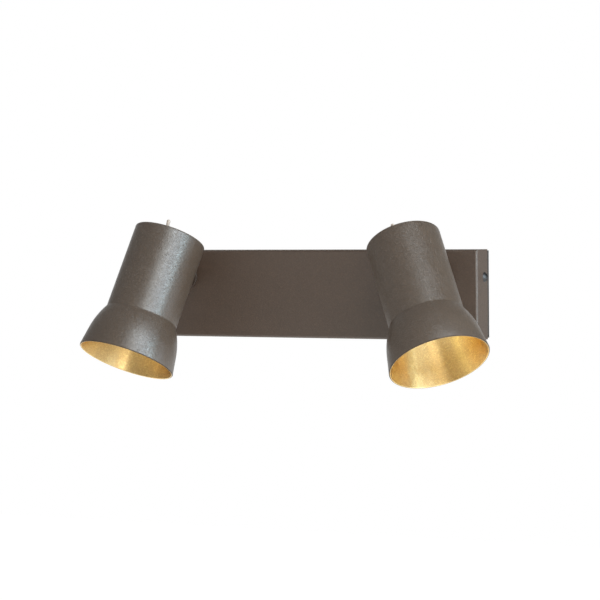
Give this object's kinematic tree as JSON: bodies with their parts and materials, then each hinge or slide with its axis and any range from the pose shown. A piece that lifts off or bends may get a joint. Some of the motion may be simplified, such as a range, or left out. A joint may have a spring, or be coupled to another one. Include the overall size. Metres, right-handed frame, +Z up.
{
  "type": "double reading wall lamp",
  "caption": "Wall lamp with a long folded metal housing and two flared spot heads that pan and tilt on knuckle joints, each with a toggle switch on its closed end.",
  "frame": {"origin": "middle of the back face of the wall bracket, on the wall", "axes": "+X to the right along the housing, +Z up, +Y into the wall; the heads hang on the -Y side"},
  "size_m": [0.3353, 0.1472, 0.1283],
  "materials": {
    "cover_paint": "fine textured dark bronze powder coat on folded steel",
    "bracket_steel": "dark grey painted folded steel",
    "head_paint": "spun aluminium with a fine metallic bronze paint outside and a gold paint inside",
    "joint_bronze": "turned brass painted like the heads, fine metallic bronze",
    "dark_screw": "blackened steel screws",
    "zinc_steel": "bright zinc plate",
    "brass_contact": "bare brass",
    "nylon_black": "moulded black nylon",
    "fibre": "red vulcanised fibre",
    "rubber_black": "soft black rubber",
    "terminal_plastic": "moulded polyamide",
    "porcelain": "unglazed steatite",
    "lamp_plastic": "white moulded lamp body",
    "lamp_glass": "frosted front lens, lamp off",
    "silicone_lead": "silicone insulated stranded wire",
    "earth_sleeve": "green and yellow insulated earth wire",
    "ivory_plastic": "ivory moulded lever"
  },
  "bodies": {
    "wall_unit": {"wall_bracket": "bracket_steel", "housing_cover": "cover_paint", "cover_screws": "dark_screw", "cable_grommet": "rubber_black", "terminal_block": "terminal_plastic", "terminal_screws": "brass_contact", "terminal_mount_screws": "zinc_steel", "earth_stud": "brass_contact", "earth_lead": "earth_sleeve", "rose_washers": "nylon_black", "friction_washers": "fibre", "stop_studs": "zinc_steel", "inner_leads_left": "silicone_lead", "inner_leads_right": "silicone_lead"},
    "swivel_left": {"swivel_fork_left": "joint_bronze", "stop_washer_left": "zinc_steel", "spring_washer_left": "zinc_steel", "swivel_nut_left": "zinc_steel", "knuckle_screws_left": "dark_screw"},
    "head_left": {"head_knuckle_left": "joint_bronze", "saddle_washer_left": "zinc_steel", "knuckle_nut_left": "zinc_steel", "head_shell_left": "head_paint", "holder_strap_left": "zinc_steel", "lampholder_left": "porcelain", "holder_screws_left": "zinc_steel", "lamp_body_left": "lamp_plastic", "lamp_lens_left": "lamp_glass", "lamp_pins_left": "brass_contact", "switch_body_left": "nylon_black", "switch_nut_left": "zinc_steel", "head_leads_left": "silicone_lead"},
    "lever_left": {"switch_lever_left": "ivory_plastic"},
    "swivel_right": {"swivel_fork_right": "joint_bronze", "stop_washer_right": "zinc_steel", "spring_washer_right": "zinc_steel", "swivel_nut_right": "zinc_steel", "knuckle_screws_right": "dark_screw"},
    "head_right": {"head_knuckle_right": "joint_bronze", "saddle_washer_right": "zinc_steel", "knuckle_nut_right": "zinc_steel", "head_shell_right": "head_paint", "holder_strap_right": "zinc_steel", "lampholder_right": "porcelain", "holder_screws_right": "zinc_steel", "lamp_body_right": "lamp_plastic", "lamp_lens_right": "lamp_glass", "lamp_pins_right": "brass_contact", "switch_body_right": "nylon_black", "switch_nut_right": "zinc_steel", "head_leads_right": "silicone_lead"},
    "lever_right": {"switch_lever_right": "ivory_plastic"}
  },
  "joints": [
    {"name": "pan_left", "type": "hinge", "parent": "wall_unit", "child": "swivel_left", "pos_m": [-0.1105, -0.0295, 0.0135], "axis": [0, 1, 0], "range_deg": [-173, 153]},
    {"name": "tilt_left", "type": "hinge", "parent": "swivel_left", "child": "head_left", "pos_m": [-0.1105, -0.0415, 0.0135], "axis": [-0.9848, 0, 0.1736], "range_deg": [-28.3, 27.7]},
    {"name": "switch_left", "type": "hinge", "parent": "head_left", "child": "lever_left", "pos_m": [-0.10182, -0.07968, 0.0512], "axis": [-0.9848, 0, 0.1736], "range_deg": [0, 30]},
    {"name": "pan_right", "type": "hinge", "parent": "wall_unit", "child": "swivel_right", "pos_m": [0.1105, -0.0295, 0.0135], "axis": [0, 1, 0], "range_deg": [-136.3, 189.7]},
    {"name": "tilt_right", "type": "hinge", "parent": "swivel_right", "child": "head_right", "pos_m": [0.1105, -0.0415, 0.0135], "axis": [-0.8934, 0, -0.4493], "range_deg": [-25.8, 30.2]},
    {"name": "switch_right", "type": "hinge", "parent": "head_right", "child": "lever_right", "pos_m": [0.09569, -0.08133, 0.04739], "axis": [-0.8934, 0, -0.4493], "range_deg": [0, 30]}
  ]
}
